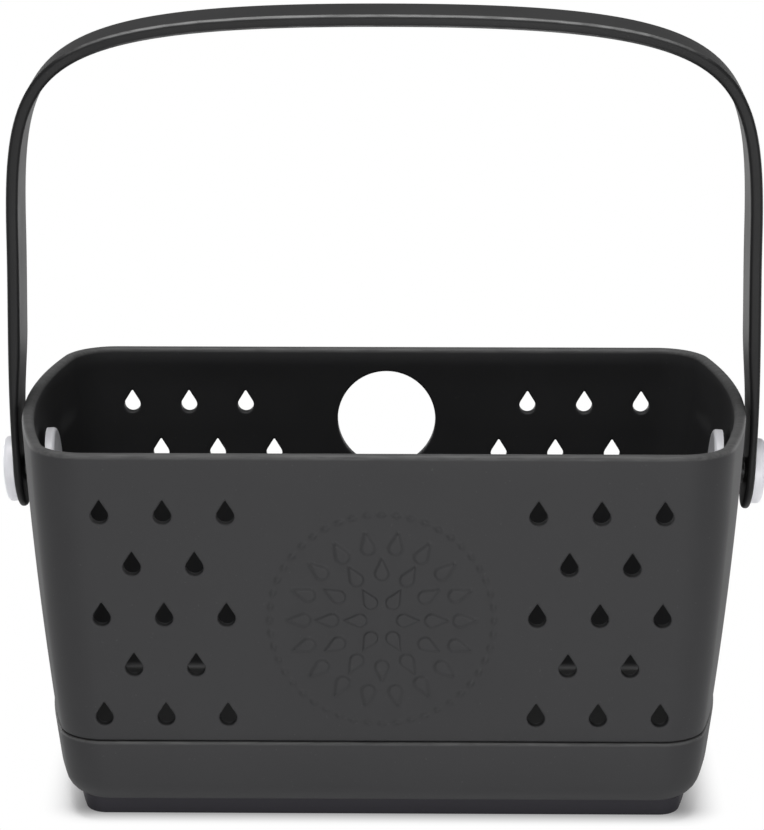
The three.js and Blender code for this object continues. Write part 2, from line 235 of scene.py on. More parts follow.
# %% Lamps
LAMPS = [
    # name, place, aim, width, height, watts
    ("low_front_lamp", (0.3, -2.2, 0.14), (0, 0, 0.12), 2.0, 0.24, 26),
    ("low_left_lamp", (-1.75, 1.65, 0.14), (0, 0, 0.12), 1.4, 0.24, 12),
    ("low_right_lamp", (1.75, 1.65, 0.14), (0, 0, 0.12), 1.4, 0.24, 12),
    ("overhead_lamp", (-0.2, -0.2, 2.9), (0, 0, 0.1), 1.6, 1.0, 85),
]


def add_lamp(name, place, aim, width, height, watts):
    data = bpy.data.lights.new(name, "AREA")
    data.shape = "RECTANGLE"
    data.size = width
    data.size_y = height
    data.energy = watts
    lamp = bpy.data.objects.new(name, data)
    lamp.location = place
    lamp.rotation_euler = (Vector(aim) - Vector(place)).to_track_quat("-Z", "Y").to_euler()
    scene.collection.objects.link(lamp)
    print(name, watts, "W")


for lamp in LAMPS:
    add_lamp(*lamp)

# %% [markdown]
# The basket's form
#
# Seen from above the basket has straight long walls, end walls that curve out a little, and tight round
# corners. Every wall leans in towards the base with a slight swell. One way to model it is a box with
# bevels and a lattice. Here the form is a formula: a plan for each height, and a flat pattern that is
# rolled round that plan. So holes can be drawn on the flat pattern and land where they should.

# %% Sizes of the basket
MM = 0.001
RIM_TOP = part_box("basket_shell")[1].z
RIM_WIDTH = 307 * MM
RIM_DEPTH = 184 * MM
RIM_CORNER = 24 * MM
BASE_CORNER = 18 * MM
END_RADIUS = 302 * MM
WALL = 5 * MM
END_TAPER = 16.6 * MM
FRONT_TAPER = 13.5 * MM
WALL_BOW = 1.9 * MM


class Plan:
    """The basket's outline at a height: straight sides, curved ends and corners tangent to both."""

    def __init__(self, z):
        rise = z / RIM_TOP
        swell = 4 * WALL_BOW * rise * (1 - rise)
        self.half_x = RIM_WIDTH / 2 - END_TAPER * (1 - rise) + swell
        self.half_y = RIM_DEPTH / 2 - FRONT_TAPER * (1 - rise) + swell
        self.radius = BASE_CORNER + (RIM_CORNER - BASE_CORNER) * rise
        self.corner_y = self.half_y - self.radius
        self.end_x = self.half_x - END_RADIUS
        reach = END_RADIUS - self.radius
        self.corner_x = self.end_x + math.sqrt(reach ** 2 - self.corner_y ** 2)
        self.end_turn = math.asin(self.corner_y / reach)
        self.corner_turn = math.pi / 2 - self.end_turn


plan_at = functools.cache(Plan)
middle_plan = plan_at(RIM_TOP / 2)
FRONT_RUN = middle_plan.corner_x
CORNER_RUN = middle_plan.radius * middle_plan.corner_turn
END_RUN = END_RADIUS * middle_plan.end_turn
QUARTER = FRONT_RUN + CORNER_RUN + END_RUN
PERIMETER = 4 * QUARTER
print("pattern is", round(PERIMETER / MM), "mm round, of which a corner takes", round(CORNER_RUN / MM))


# %% From the flat pattern to the wall
def wall_point(run, z, depth):
    """Point at a run round the pattern from the front's middle, at a depth under the outer face."""
    plan = plan_at(z)
    quarter, rest = divmod(run, QUARTER)
    quarter = int(quarter) % 4
    if quarter % 2:
        rest = QUARTER - rest
    if rest < FRONT_RUN:
        x, y = plan.corner_x * rest / FRONT_RUN, plan.half_y - depth
    elif rest < FRONT_RUN + CORNER_RUN:
        turn = plan.corner_turn * (rest - FRONT_RUN) / CORNER_RUN
        x = plan.corner_x + (plan.radius - depth) * math.sin(turn)
        y = plan.corner_y + (plan.radius - depth) * math.cos(turn)
    else:
        turn = plan.end_turn * (QUARTER - rest) / END_RUN
        x = plan.end_x + (END_RADIUS - depth) * math.cos(turn)
        y = (END_RADIUS - depth) * math.sin(turn)
    return Vector((x if quarter in (0, 1) else -x, y if quarter in (1, 2) else -y, z))


def front_run(x, z):
    """Run along the pattern of a point x across the front wall."""
    plan = plan_at(z)
    past = abs(x) - plan.corner_x
    if past < 0:
        return FRONT_RUN * x / plan.corner_x
    return math.copysign(FRONT_RUN + CORNER_RUN * math.asin(past / plan.radius) / plan.corner_turn, x)


def back_run(x, z):
    return 2 * QUARTER - front_run(x, z)


def right_run(y, z):
    return QUARTER + END_RUN * math.asin(y / END_RADIUS) / plan_at(z).end_turn


def left_run(y, z):
    return 4 * QUARTER - right_run(y, z)


print("rim corner", [round(v / MM, 1) for v in wall_point(FRONT_RUN + CORNER_RUN / 2, RIM_TOP, 0)])

# %% [markdown]
# Mouldings
#
# Every foam piece here is a shell with rounded edges and holes. Booleans and a Bevel modifier could
# make them, but they leave long thin faces that shade badly. So each face is cut as a flat pattern
# with its holes left open, filled with even triangles, and laid on the form, and rings of quads round
# every edge. Points that fall together are then welded, which closes the piece.

# %% A moulding
WELD = 0.002 * MM
SHARP_ANGLE = math.radians(50)
PATTERN_GRAIN = 1e-8


class Moulding:
    """One closed piece, put together from panels and bands."""

    def __init__(self):
        self.mesh = bmesh.new()

    def panel(self, points, faces):
        corners = [self.mesh.verts.new(point) for point in points]
        for face in faces:
            self.mesh.faces.new([corners[i] for i in face])

    def band(self, rings):
        """Quads between neighbouring closed rings of points."""
        rows = [[self.mesh.verts.new(point) for point in ring] for ring in rings]
        for low, high in zip(rows, rows[1:]):
            for i in range(len(low)):
                j = (i + 1) % len(low)
                self.mesh.faces.new((low[i], low[j], high[j], high[i]))

    def piece(self, name, node, body, material):
        """Welds the moulding and puts it in the place of its CAD node."""
        bmesh.ops.remove_doubles(self.mesh, verts=self.mesh.verts, dist=WELD)
        bmesh.ops.dissolve_degenerate(self.mesh, edges=self.mesh.edges, dist=WELD)
        bmesh.ops.recalc_face_normals(self.mesh, faces=self.mesh.faces)
        loose = [edge for edge in self.mesh.edges if len(edge.link_faces) != 2]
        data = bpy.data.meshes.new(name)
        self.mesh.to_mesh(data)
        self.mesh.free()
        data.shade_smooth()
        data.set_sharp_from_angle(angle=SHARP_ANGLE)
        data.materials.append(material)
        made = bpy.data.objects.new(name, data)
        scene.collection.objects.link(made)
        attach(made, body)
        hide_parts(node)
        print(name, len(data.polygons), "faces,", len(loose), "open edges")


# %% Filling a flat pattern
def inside(point, loop):
    """Whether a flat point lies in a convex loop that turns left."""
    for (ax, ay), (bx, by) in zip(loop, loop[1:] + loop[:1]):
        if (bx - ax) * (point[1] - ay) - (by - ay) * (point[0] - ax) < 0:
            return False
    return True


def fill(border, loops, stitches):
    """Flat points and triangles between a border and open loops; stitches keep the triangles even."""
    points, edges, owners = [], [], []
    for number, loop in enumerate([border, *loops]):
        first = len(points)
        points += loop
        owners += [number] * len(loop)
        edges += [(first + i, first + (i + 1) % len(loop)) for i in range(len(loop))]
    points += stitches
    owners += [0] * len(stitches)
    made = delaunay_2d_cdt([Vector(point) for point in points], edges, [], 0, PATTERN_GRAIN)
    flat, faces, sources = made[0], made[2], made[3]
    owner = [owners[source[0]] for source in sources]
    kept = [f for f in faces if owner[f[0]] == 0 or len({owner[i] for i in f}) > 1]
    return [tuple(point) for point in flat], kept


def circle(x, y, radius, sides):
    angles = [2 * math.pi * i / sides for i in range(sides)]
    return [(x + radius * math.cos(angle), y + radius * math.sin(angle)) for angle in angles]


def quarter_arc(steps):
    """Sine and cosine pairs of an even quarter turn."""
    angles = [math.pi / 2 * i / steps for i in range(steps + 1)]
    return [(math.sin(angle), math.cos(angle)) for angle in angles]


print("quarter arc of 4:", [round(s, 2) for s, _ in quarter_arc(4)])

# %% [markdown]
# Finishes
#
# Moulded foam has a dry, even skin: charcoal with faint clouds from the pressing, a grain too fine to
# count, and a few pale specks of dust. Noises at four sizes do that. An image could be painted instead,
# but it would need a flat map of every piece, and noise needs none. A finish also takes stretches along
# one axis of the piece, where light and shade are painted into the colour: a painted highlight on the
# rim, the band's ledge and the strap's top edges, and painted shade on the floor inside and on the
# rivet's sleeve. Streaks of a stretched noise break those up.

# %% Helpers for finishes
MIX_FACTOR, MIX_A, MIX_B, MIX_COLOUR = 0, 6, 7, 2


def plain(level):
    return (level, level, level, 1)


def blend(graph, factor, first, second):
    inputs = {MIX_FACTOR: factor, MIX_A: first, MIX_B: second}
    return graph.node("ShaderNodeMix", {"data_type": "RGBA"}, inputs, MIX_COLOUR)


def noise(graph, place, scale, detail):
    inputs = {"Vector": place, "Scale": scale, "Detail": detail}
    return graph.node("ShaderNodeTexNoise", {}, inputs)


def limits(graph, value, low, high):
    """0 below low, 1 above high, and a smooth step between."""
    inputs = {"Value": value, "From Min": low, "From Max": high}
    return graph.node("ShaderNodeMapRange", {"interpolation_type": "SMOOTHSTEP"}, inputs)


def surface(graph, colour, roughness, bump_height, bump_distance, fixed):
    """A Principled shader with a bump, sent to the output."""
    bump = graph.node("ShaderNodeBump", {}, {"Height": bump_height, "Distance": bump_distance})
    inputs = {"Base Color": colour, "Roughness": roughness, "Normal": bump, **fixed}
    shader = graph.node("ShaderNodeBsdfPrincipled", {}, inputs)
    graph.node("ShaderNodeOutputMaterial", {}, {"Surface": shader})


# %% Painted highlights and shade
# scale of the streaks along x, y and z
STREAKS = (90, 900, 900)
STREAK_DETAIL = 2
STREAK_LIMITS = 0.25, 0.75
RAGGED = 0.6
# limits that every point of a piece is past, and limits that none reaches
NEAR = -2 * MM, -1 * MM
FAR = 9, 10


class PaintedLight:
    """A stretch of painted light along an axis of the piece: a lighter tone for a highlight, a darker one
    for shade.

    It comes in between two distances from the origin, and goes out between two more. It may come in
    with height too, between the limits of rise. Streaks take a ragged share of it away.
    """

    def __init__(self, axis, tone, start=NEAR, end=FAR, rise=NEAR, ragged=RAGGED):
        self.axis = axis
        self.tone = plain(tone)
        self.start = start
        self.end = end
        self.rise = rise
        self.ragged = ragged

    def over(self, graph, place, colour):
        axes = (self.axis, "Z")
        along, up = [graph.node("ShaderNodeSeparateXYZ", {}, {0: place}, axis) for axis in axes]
        away = graph.node("ShaderNodeMath", {"operation": "ABSOLUTE"}, {0: along})
        multiply = {"operation": "MULTIPLY"}
        stretched = graph.node("ShaderNodeVectorMath", multiply, {0: place, 1: STREAKS})
        streaks = limits(graph, noise(graph, stretched, 1, STREAK_DETAIL), *STREAK_LIMITS)
        band = limits(graph, away, *self.start) - limits(graph, away, *self.end)
        share = band * limits(graph, up, *self.rise) * (1 - self.ragged + self.ragged * streaks)
        return blend(graph, share, colour, self.tone)


# %% Foam finish
# scale and detail of each noise
CLOUDS = 22, 3
RIPPLE = 140, 2
SPECKS = 900, 0
GRAIN = 1900, 2
CLOUD_LIMITS = 0.3, 0.7
SPECK_LIMITS = 0.80, 0.86
SPECK_SHARE = 0.06
SPECK_TONE = 0.22
GRAIN_SHARE = 0.3
RIPPLE_SHARE = 0.3
CLOUD_ROUGHNESS = 0.08
GRAIN_ROUGHNESS = 0.10
NOISE_MEAN = 0.5
FOAM_BUMP = 0.03 * MM


def foam(name, dark, light, roughness, gloss, *painted_light):
    """Dry moulded foam: clouded colour, fine grain, a few pale specks and stretches of painted light."""
    material = bpy.data.materials.new(name)
    graph = Graph(material)
    place = graph.node("ShaderNodeTexCoord", output="Object")
    clouds = limits(graph, noise(graph, place, *CLOUDS), *CLOUD_LIMITS)
    grain = noise(graph, place, *GRAIN)
    ripple = noise(graph, place, *RIPPLE)
    specks = limits(graph, noise(graph, place, *SPECKS), *SPECK_LIMITS)
    colour = blend(graph, clouds * (1 - GRAIN_SHARE) + grain * GRAIN_SHARE, dark, light)
    colour = blend(graph, specks * SPECK_SHARE, colour, plain(SPECK_TONE))
    for stretch in painted_light:
        colour = stretch.over(graph, place, colour)
    rough = roughness + CLOUD_ROUGHNESS * (clouds - NOISE_MEAN) + GRAIN_ROUGHNESS * (grain - NOISE_MEAN)
    height = grain * (1 - RIPPLE_SHARE) + ripple * RIPPLE_SHARE
    surface(graph, colour, rough, height, FOAM_BUMP, {"Specular IOR Level": gloss})
    return material


print("foam finish with", len((CLOUDS, RIPPLE, SPECKS, GRAIN)), "noises")

# %% The foams
# dark and light colour, roughness and gloss
BODY = (0.023, 0.023, 0.0243, 1), (0.029, 0.029, 0.0303, 1), 0.62, 0.28
STRAP = (0.006, 0.006, 0.0064, 1), (0.009, 0.009, 0.0094, 1), 0.5, 0.2
SOLE = (0.026, 0.0248, 0.0298, 1), (0.031, 0.0298, 0.0352, 1), 0.75, 0.2
print("body foam from", BODY[0][:3], "to", BODY[1][:3])

# %% [markdown]
# The rivets are satin white plastic. One flat colour would look like paper close up, so two of the same
# noises go in, finer and fainter.

# %% Rivet finish
PLASTIC_CLOUDS = 120, 2
PLASTIC_GRAIN = 2600, 1
PLASTIC_ROUGHNESS = 0.08
PLASTIC_BUMP = 0.01 * MM


def plastic(name, dark, light, roughness, *painted_light):
    """Satin plastic: faint clouds, a very fine grain and stretches of painted light."""
    material = bpy.data.materials.new(name)
    graph = Graph(material)
    place = graph.node("ShaderNodeTexCoord", output="Object")
    clouds = noise(graph, place, *PLASTIC_CLOUDS)
    grain = noise(graph, place, *PLASTIC_GRAIN)
    colour = blend(graph, clouds, dark, light)
    for stretch in painted_light:
        colour = stretch.over(graph, place, colour)
    rough = roughness + PLASTIC_ROUGHNESS * (grain - NOISE_MEAN)
    surface(graph, colour, rough, grain, PLASTIC_BUMP, {})
    return material


# dark and light colour and roughness
RIVET = (0.74, 0.74, 0.78, 1), (0.82, 0.82, 0.85, 1), 0.36
print("rivet plastic from", RIVET[0][:3], "to", RIVET[1][:3])

# %% [markdown]
# Holes
#
# The walls are full of drops that let water and air through, with edges that are a little rounded.
# Booleans could punch them, and would leave sharp edges. So each hole is an outline round a middle
# point, and scaling that outline up gives the wider loops that its lip needs on both faces of the wall.
# A drop and a round hole then share the same code.

# %% A hole through the wall
LIP_ROUND = 0.7 * MM
LIP_HOLD = 0.5 * MM
LIP_STEPS = 4
STITCH_CLEAR = 1.4 * MM


class Hole:
    """An outline on one wall, as points about a middle, with the wall's own way to the pattern."""

    def __init__(self, outline_points, inradius, across, z, run):
        self.outline = outline_points
        self.inradius = inradius
        self.across = across
        self.z = z
        self.run = run

    def loop(self, offset):
        scale = 1 + offset / self.inradius
        points = [(self.across + dx * scale, self.z + dz * scale) for dx, dz in self.outline]
        return [(self.run(x, z), z) for x, z in points]

    def rings(self):
        """Rings from the wall's outer face, round its lip, through the wall and out at the inner lip."""
        arc = [(LIP_ROUND * (1 - s), LIP_ROUND * (1 - c)) for s, c in quarter_arc(LIP_STEPS)]
        stops = [(LIP_ROUND + LIP_HOLD, 0), *arc]
        stops += [(offset, WALL - depth) for offset, depth in reversed(stops)]
        return [[wall_point(run, z, depth) for run, z in self.loop(offset)] for offset, depth in stops]


# %% Drops and round holes
DROP_WIDTH = 7.2 * MM
DROP_HEIGHT = 10.4 * MM
DROP_TIP = 0.4 * MM
DROP_ARC = 18
TIP_ARC = 4
SIDE_POINTS = 3


def drop_outline():
    """A round end, two straight sides and a small round tip, about the round end's middle."""
    radius = DROP_WIDTH / 2
    reach = DROP_HEIGHT - radius
    spread = math.acos(radius / reach)
    tip = (radius - DROP_TIP) * reach / radius
    low, high = math.pi / 2 + spread, 5 * math.pi / 2 - spread
    turns = [low + (high - low) * i / DROP_ARC for i in range(DROP_ARC + 1)]
    points = [(radius * math.cos(turn), radius * math.sin(turn)) for turn in turns]
    turns = [math.pi / 2 - spread + 2 * spread * i / TIP_ARC for i in range(TIP_ARC + 1)]
    top = [(DROP_TIP * math.cos(turn), tip + DROP_TIP * math.sin(turn)) for turn in turns]
    shares = [(i + 1) / (SIDE_POINTS + 1) for i in range(SIDE_POINTS)]
    rise = [Vector(points[-1]).lerp(Vector(top[0]), share) for share in shares]
    fall = [Vector(top[-1]).lerp(Vector(points[0]), share) for share in shares]
    return [*points, *map(tuple, rise), *top, *map(tuple, fall)]


print("a drop has", len(drop_outline()), "points")

# %% [markdown]
# The front has rows of three and two drops on each side of its middle. The back's odd rows hold three
# as well, moved half a step towards the round grip hole. The end walls have one hole each for the
# rivet, which the cap and the strap hide.

# %% Places of the holes
DROP_TOP_ROW = 24.4 * MM
DROP_ROW_PITCH = 22.2 * MM
DROP_ROWS = 5
DROP_COLUMN_PITCH = 25.6 * MM
DROP_INNER_COLUMN = 63.6 * MM
DROP_COLUMNS = 3
GRIP_HOLE_RADIUS = 22 * MM
GRIP_HOLE_DROP = 32.5 * MM
PIVOT_HEIGHT = frame["joints"][0]["pos_m"][2]
RIVET_HOLE_RADIUS = 6.6 * MM
ROUND_SIDES = 72
RIVET_SIDES = 32


def drops(run, front):
    """The drops of the front or the back wall."""
    radius = DROP_WIDTH / 2
    found = []
    for row in range(DROP_ROWS):
        odd = row % 2
        shift = odd * DROP_COLUMN_PITCH / 2 * (1 if front else -1)
        z = RIM_TOP - DROP_TOP_ROW - row * DROP_ROW_PITCH + radius - DROP_HEIGHT / 2
        for column in range(DROP_COLUMNS - (odd if front else 0)):
            x = DROP_INNER_COLUMN + shift + column * DROP_COLUMN_PITCH
            found += [Hole(drop_outline(), radius, side * x, z, run) for side in (1, -1)]
    return found


grip_outline = circle(0, 0, GRIP_HOLE_RADIUS, ROUND_SIDES)
rivet_outline = circle(0, 0, RIVET_HOLE_RADIUS, RIVET_SIDES)
holes = drops(front_run, True) + drops(back_run, False)
holes.append(Hole(grip_outline, GRIP_HOLE_RADIUS, 0, RIM_TOP - GRIP_HOLE_DROP, back_run))
holes += [Hole(rivet_outline, RIVET_HOLE_RADIUS, 0, PIVOT_HEIGHT, run) for run in (right_run, left_run)]
print(len(holes), "holes through the walls")

# %% [markdown]
# Rosette
#
# A shallow rosette sits in the middle of the front wall: raised drops in a ring of beads, an everyday
# ornament that goes with the holes. A bump map would vanish from the mesh, so the relief is real: a
# round patch of fine quads whose points stand out by the relief.

# %% Relief of the rosette
ROSETTE_HEIGHT = 92 * MM
ROSETTE_RADIUS = 50 * MM
ROSETTE_RINGS = 100
ROSETTE_SPOKES = 288
RELIEF = 0.8 * MM
RELIEF_EDGE = 0.7 * MM
DROP_RINGS = [
    # drops in the ring, distance of their round ends from the middle, radius of the round end, reach
    (6, 9 * MM, 2.8 * MM, 6.4 * MM),
    (12, 20.5 * MM, 2.8 * MM, 6.8 * MM),
    (18, 32 * MM, 2.8 * MM, 7.2 * MM),
    (48, 46 * MM, 1.1 * MM, 1.1 * MM),
]


def step(value):
    value = min(max(value, 0), 1)
    return value * value * (3 - 2 * value)


def drop_distance(along, across, radius, reach):
    """How far a point is outside a drop whose tip points along."""
    slope = radius / reach
    level = math.sqrt(1 - slope * slope)
    if along * level - abs(across) * slope > 0:
        return abs(across) * level + along * slope - radius
    return math.hypot(along, across) - radius


def relief(radius, angle):
    """Height of the rosette over the wall."""
    distances = []
    for count, middle, end, reach in DROP_RINGS:
        sector = 2 * math.pi / count
        turn = (angle + sector / 2) % sector - sector / 2
        along = radius * math.cos(turn) - middle
        distances.append(drop_distance(along, radius * math.sin(turn), end, reach))
    return RELIEF * step(0.5 - min(distances) / RELIEF_EDGE)


print("relief on a bead", round(relief(DROP_RINGS[-1][1], 0) / MM, 2), "mm")


# %% The round patch
def rosette_flat(share, spoke):
    """A spot of the patch: its radius and angle, and its run and height on the pattern."""
    radius = share * ROSETTE_RADIUS
    angle = 2 * math.pi * spoke / ROSETTE_SPOKES
    z = ROSETTE_HEIGHT + radius * math.sin(angle)
    return radius, angle, front_run(radius * math.cos(angle), z), z


def rosette_ring(share):
    spots = [rosette_flat(share, spoke) for spoke in range(ROSETTE_SPOKES)]
    return [wall_point(run, z, -relief(radius, angle)) for radius, angle, run, z in spots]


rosette_loop = [rosette_flat(1, spoke)[2:] for spoke in range(ROSETTE_SPOKES)]
rosette_rings = [rosette_ring(i / ROSETTE_RINGS) for i in range(ROSETTE_RINGS + 1)]
print("rosette patch", len(rosette_rings), "rings of", ROSETTE_SPOKES)

# %% [markdown]
# Basket
#
# The basket is one moulding with an even wall. A Solidify modifier could thicken a single skin, but the
# rim and the base have sections of their own. So the wall's pattern is one strip, cut open in the middle
# of a corner where there is no hole, and both faces use it, at no depth and at the wall's depth. Rings
# then close the piece: over the rounded rim, down the stepped-in base that the band covers, and round
# the inner fillet to the floor.

# %% Stations round the basket
CUT = -(FRONT_RUN + CORNER_RUN / 2)
CORNER_STEP = 1.8 * MM
LONG_STEP = 5.4 * MM
SHORT_STEP = 6 * MM
ROW_STEP = 5 * MM


def stations():
    """Runs along the pattern, closer together round the corners."""
    corner = (CORNER_RUN, CORNER_STEP)
    half = (CORNER_RUN / 2, CORNER_STEP)
    long, short = (2 * FRONT_RUN, LONG_STEP), (2 * END_RUN, SHORT_STEP)
    runs, start = [], CUT
    for length, size in (half, long, corner, short, corner, long, corner, short, half):
        count = round(length / size)
        runs += [start + length * i / count for i in range(count)]
        start += length
    return runs


RUNS = stations()


def ring(depth, z):
    return [wall_point(run, z, depth) for run in RUNS]


print(len(RUNS), "stations round the basket")

# %% Faces of the wall
RIM_ROUND = 2 * MM
RIM_STEPS = 6
SEAM = 37.5 * MM
SEAM_ROUND = 1.1 * MM
WALL_FOOT = SEAM + SEAM_ROUND
WALL_TOP = RIM_TOP - RIM_ROUND
ROW_COUNT = round((WALL_TOP - WALL_FOOT) / ROW_STEP)
WALL_ROWS = [WALL_FOOT + (WALL_TOP - WALL_FOOT) * i / ROW_COUNT for i in range(ROW_COUNT + 1)]


def wall_border():
    """The strip's edge: along the seam, up the cut, back along the rim and down the cut."""
    ends = [*RUNS, CUT + PERIMETER]
    low = [(run, WALL_FOOT) for run in ends]
    high = [(run, WALL_TOP) for run in reversed(ends)]
    up = [(CUT + PERIMETER, z) for z in WALL_ROWS[1:-1]]
    down = [(CUT, z) for z in reversed(WALL_ROWS[1:-1])]
    return low + up + high + down


def turned_left(loop):
    """The loop, or its reverse, so that it turns left."""
    area = sum(ax * by - bx * ay for (ax, ay), (bx, by) in zip(loop, loop[1:] + loop[:1]))
    return loop if area > 0 else loop[::-1]


def wall_loop(hole, offset):
    """A hole's loop, moved to the strip's own stretch of the pattern."""
    loop = [(CUT + (run - CUT) % PERIMETER, z) for run, z in hole.loop(offset)]
    return turned_left(loop)


def wall_panel(moulding, depth, extra_loops):
    loops = [wall_loop(hole, LIP_ROUND + LIP_HOLD) for hole in holes] + extra_loops
    keep_out = [wall_loop(hole, LIP_ROUND + LIP_HOLD + STITCH_CLEAR) for hole in holes] + extra_loops
    spots = [(run, z) for run in RUNS[1:] for z in WALL_ROWS[1:-1]]
    spots = [spot for spot in spots if not any(inside(spot, loop) for loop in keep_out)]
    points, faces = fill(wall_border(), loops, spots)
    moulding.panel([wall_point(run, z, depth) for run, z in points], faces)


print(len(WALL_ROWS), "rows of stitches up the wall")

# %% Floors and drains
DRAIN_RADIUS = 4.5 * MM
DRAIN_PITCH_X = 56 * MM
DRAIN_PITCH_Y = 52 * MM
DRAIN_COLUMNS = 4
DRAIN_SIDES = 32
FLOOR_STEP = 12 * MM
DRAIN_X = [(column - (DRAIN_COLUMNS - 1) / 2) * DRAIN_PITCH_X for column in range(DRAIN_COLUMNS)]
DRAINS = [(x, side * DRAIN_PITCH_Y / 2) for x in DRAIN_X for side in (1, -1)]


def floor_panel(moulding, border, z):
    """A level floor inside a ring, with the drains left open."""
    edge = turned_left([(point.x, point.y) for point in border])
    loops = [circle(x, y, DRAIN_RADIUS, DRAIN_SIDES) for x, y in DRAINS]
    clear = [circle(x, y, DRAIN_RADIUS + STITCH_CLEAR, DRAIN_SIDES) for x, y in DRAINS]
    reach_x, reach_y = int(RIM_WIDTH / 2 / FLOOR_STEP), int(RIM_DEPTH / 2 / FLOOR_STEP)
    spots = [(i * FLOOR_STEP, j * FLOOR_STEP) for i in range(-reach_x, reach_x + 1)
             for j in range(-reach_y, reach_y + 1)]
    spots = [spot for spot in spots if inside(spot, edge)]
    spots = [spot for spot in spots if not any(inside(spot, loop) for loop in clear)]
    points, faces = fill(edge, loops, spots)
    moulding.panel([(x, y, z) for x, y in points], faces)


def drain_walls(moulding, low, high):
    for x, y in DRAINS:
        loop = circle(x, y, DRAIN_RADIUS, DRAIN_SIDES)
        moulding.band([[(px, py, z) for px, py in loop] for z in (low, high)])


print(len(DRAINS), "drains")

# %% Sizes of the base
CUP_WALL = 2.6 * MM
CUP_FLOOR = 2.6 * MM
CUP_PROUD = 0.7 * MM
FIT_GAP = 0.3 * MM
FOOT_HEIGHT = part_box("base_cup")[0].z
SHELL_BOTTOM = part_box("basket_shell")[0].z
FLOOR_THICKNESS = 4.5 * MM
FLOOR_TOP = SHELL_BOTTOM + FLOOR_THICKNESS
FLOOR_FILLET = 3 * MM
BASE_CHAMFER = 2 * MM
FILLET_STEPS = 6
print("floor", round(FLOOR_TOP / MM, 1), "mm over the ground")

# %% Foam of the basket
# under the rim: where the painted highlight starts and is full; over the floor: where the painted shade
# wanes and ends
RIM_HIGHLIGHT_DEPTHS = 2.4 * MM, 1.2 * MM
RIM_HIGHLIGHT_TONE = 0.07
FLOOR_SHADE_HEIGHTS = 0.2 * MM, 1 * MM
FLOOR_SHADE_TONE = 0.004
# a painted highlight along the rim, broken by streaks
rim_painted_highlight = PaintedLight("Z", RIM_HIGHLIGHT_TONE, start=[RIM_TOP - depth for depth in RIM_HIGHLIGHT_DEPTHS])
# painted shade on the floor inside and on all of the basket that lies lower
floor_painted_shade = PaintedLight("Z", FLOOR_SHADE_TONE, end=[FLOOR_TOP + height for height in FLOOR_SHADE_HEIGHTS], ragged=0)
body_foam = foam("charcoal_foam", *BODY, rim_painted_highlight, floor_painted_shade)
print("painted rim highlight from", round(rim_painted_highlight.start[0] / MM, 1), "mm up")


# %% The basket
def basket():
    moulding = Moulding()
    wall_panel(moulding, 0, [rosette_loop])
    moulding.band(rosette_rings)
    wall_panel(moulding, WALL, [])
    for hole in holes:
        moulding.band(hole.rings())
    arc = quarter_arc(RIM_STEPS)
    over = [(RIM_ROUND * (1 - c), WALL_TOP + RIM_ROUND * s) for s, c in arc]
    back = [(WALL - depth, z) for depth, z in reversed(over)]
    moulding.band([ring(*stop) for stop in over + back])
    base_depth = CUP_WALL + FIT_GAP - CUP_PROUD
    base = [(SEAM_ROUND * (1 - c), WALL_FOOT - SEAM_ROUND * s) for s, c in quarter_arc(LIP_STEPS)]
    base += [(base_depth, SEAM), (base_depth, SHELL_BOTTOM + BASE_CHAMFER)]
    base.append((base_depth + BASE_CHAMFER, SHELL_BOTTOM))
    moulding.band([ring(*stop) for stop in base])
    fillet_top = FLOOR_TOP + FLOOR_FILLET
    arc = quarter_arc(FILLET_STEPS)
    fillet = [(WALL + FLOOR_FILLET * (1 - c), fillet_top - FLOOR_FILLET * s) for s, c in arc]
    lower = [(WALL, WALL_FOOT), *fillet]
    moulding.band([ring(*stop) for stop in lower])
    floor_panel(moulding, ring(*base[-1]), SHELL_BOTTOM)
    floor_panel(moulding, ring(*lower[-1]), FLOOR_TOP)
    drain_walls(moulding, SHELL_BOTTOM, FLOOR_TOP)
    moulding.piece("basket", "basket_shell", "basket", body_foam)


basket()

# %% [markdown]
# Band and foot
#
# The band round the base stands a little proud of the wall, so its top edge catches the light under a
# dark seam, and its lower edge rolls in with a wide round. The foot below it is set in, darker, and
# reaches a little further out at the ends than at the front. Both are rings on the basket's own
# outline, closed by floors that the drains pass through. A Solidify modifier would give the band its
# thickness, but not the flat floor and the different edges at its top and bottom.

# %% The band round the base
CUP_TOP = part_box("base_cup")[1].z
CUP_EDGE = 1.5 * MM
CUP_FILLET = 10 * MM
EDGE_STEPS = 4
# under the band's top: where the painted highlight starts and is full
LEDGE_HIGHLIGHT_DEPTHS = 1.6 * MM, 0.4 * MM
LEDGE_HIGHLIGHT_TONE = 0.09
# a painted highlight along the band's top edge, broken by streaks
ledge_painted_highlight = PaintedLight("Z", LEDGE_HIGHLIGHT_TONE, start=[CUP_TOP - depth for depth in LEDGE_HIGHLIGHT_DEPTHS])
band_foam = foam("band_foam", *BODY, ledge_painted_highlight)


def base_band():
    moulding = Moulding()
    top_floor = FOOT_HEIGHT + CUP_FLOOR
    arc = quarter_arc(FILLET_STEPS)
    under = [(CUP_FILLET * (1 - s), FOOT_HEIGHT + CUP_FILLET * (1 - c)) for s, c in arc]
    top = [(CUP_EDGE * (1 - c), CUP_TOP - CUP_EDGE * (1 - s)) for s, c in quarter_arc(EDGE_STEPS)]
    inner = [(CUP_WALL, CUP_TOP), (CUP_WALL, top_floor + BASE_CHAMFER),
             (CUP_WALL + BASE_CHAMFER, top_floor)]
    rings = [ring(depth - CUP_PROUD, z) for depth, z in under + top + inner]
    moulding.band(rings)
    floor_panel(moulding, rings[0], FOOT_HEIGHT)
    floor_panel(moulding, rings[-1], top_floor)
    drain_walls(moulding, FOOT_HEIGHT, top_floor)
    moulding.piece("base_band", "base_cup", "basket", band_foam)


base_band()

